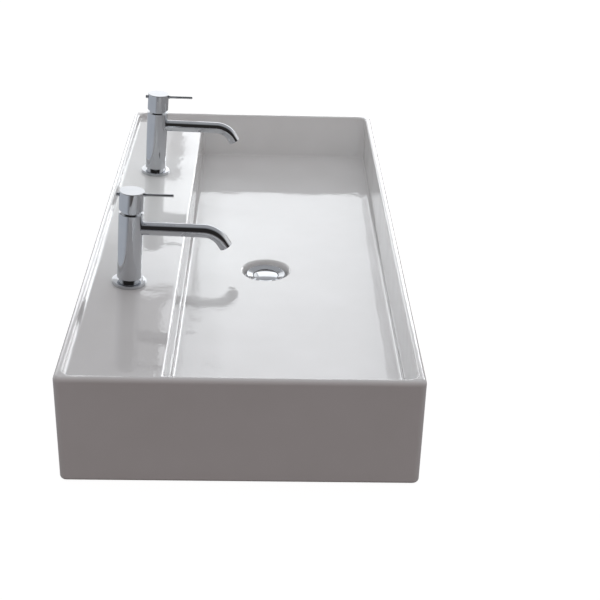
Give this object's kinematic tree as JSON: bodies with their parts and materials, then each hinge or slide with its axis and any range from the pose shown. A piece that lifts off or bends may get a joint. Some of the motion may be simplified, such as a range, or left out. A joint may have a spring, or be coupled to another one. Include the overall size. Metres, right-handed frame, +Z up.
{
  "type": "bathroom sink",
  "caption": "Long rectangular ceramic washbasin with a thin raised rim, a rear tap ledge with pin-lever mixer taps, and a round waste with a lifting plug.",
  "frame": {"origin": "middle of the footprint at the underside of the basin", "axes": "+X along the basin, to the right when facing it; +Y towards the wall; +Z up"},
  "size_m": [1.01, 0.46, 0.2829],
  "materials": {
    "glaze": "glossy white",
    "chrome": "polished chrome",
    "rubber": "matt black",
    "brass": "bare turned brass",
    "steel": "zinc-plated",
    "white_plastic": "moulded acetal",
    "valve_ceramic": "lapped alumina"
  },
  "bodies": {
    "base": {"basin": "glaze", "left_base_flange": "chrome", "left_base_seal": "rubber", "left_tap_body": "chrome", "left_spout": "chrome", "left_aerator_housing": "chrome", "left_aerator_insert": "white_plastic", "left_cartridge_housing": "white_plastic", "left_fixed_disc": "valve_ceramic", "left_cartridge_nut": "chrome", "left_fixing_stud": "steel", "left_clamp_gasket": "rubber", "left_clamp_plate": "steel", "left_clamp_nut": "brass", "right_base_flange": "chrome", "right_base_seal": "rubber", "right_tap_body": "chrome", "right_spout": "chrome", "right_aerator_housing": "chrome", "right_aerator_insert": "white_plastic", "right_cartridge_housing": "white_plastic", "right_fixed_disc": "valve_ceramic", "right_cartridge_nut": "chrome", "right_fixing_stud": "steel", "right_clamp_gasket": "rubber", "right_clamp_plate": "steel", "right_clamp_nut": "brass", "waste_body": "chrome", "waste_top_seal": "rubber", "waste_bottom_seal": "rubber", "waste_slip_washer": "white_plastic", "waste_back_nut": "brass", "waste_sleeve": "white_plastic", "waste_spring": "steel"},
    "left_turning_core": {"left_rotor": "white_plastic", "left_pivot_pin": "steel"},
    "left_handle": {"left_spindle": "brass", "left_cap": "chrome", "left_grub_screw": "steel", "left_lever": "chrome", "left_lever_nut": "chrome"},
    "left_valve_slide": {"left_sliding_disc": "valve_ceramic"},
    "right_turning_core": {"right_rotor": "white_plastic", "right_pivot_pin": "steel"},
    "right_handle": {"right_spindle": "brass", "right_cap": "chrome", "right_grub_screw": "steel", "right_lever": "chrome", "right_lever_nut": "chrome"},
    "right_valve_slide": {"right_sliding_disc": "valve_ceramic"},
    "plug": {"plug_cap": "chrome", "plug_seal": "rubber", "plug_stem": "steel"}
  },
  "joints": [
    {"name": "left_temperature", "type": "hinge", "parent": "base", "child": "left_turning_core", "pos_m": [-0.2175, 0.15901, 0.2529], "axis": [0, -0.0663, 0.9978], "range_deg": [-45, 45]},
    {"name": "left_flow", "type": "hinge", "parent": "left_turning_core", "child": "left_handle", "pos_m": [-0.2175, 0.15901, 0.2529], "axis": [-1, 0, 0], "range_deg": [0, 15]},
    {"name": "left_disc_travel", "type": "slide", "parent": "left_turning_core", "child": "left_valve_slide", "axis": [0, -0.9978, -0.0663], "range_m": [0, 0.0016]},
    {"name": "right_temperature", "type": "hinge", "parent": "base", "child": "right_turning_core", "pos_m": [0.2175, 0.15901, 0.2529], "axis": [0, -0.0663, 0.9978], "range_deg": [-45, 45]},
    {"name": "right_flow", "type": "hinge", "parent": "right_turning_core", "child": "right_handle", "pos_m": [0.2175, 0.15901, 0.2529], "axis": [-1, 0, 0], "range_deg": [0, 15]},
    {"name": "right_disc_travel", "type": "slide", "parent": "right_turning_core", "child": "right_valve_slide", "axis": [0, -0.9978, -0.0663], "range_m": [0, 0.0016]},
    {"name": "plug_lift", "type": "slide", "parent": "base", "child": "plug", "axis": [0, 0, 1], "range_m": [0, 0.008], "deforming": ["waste_spring"]}
  ],
  "couplings": [
    {"joint": "left_disc_travel", "follows": "left_flow", "m_per_rad": 0.0059},
    {"joint": "right_disc_travel", "follows": "right_flow", "m_per_rad": 0.0059}
  ]
}
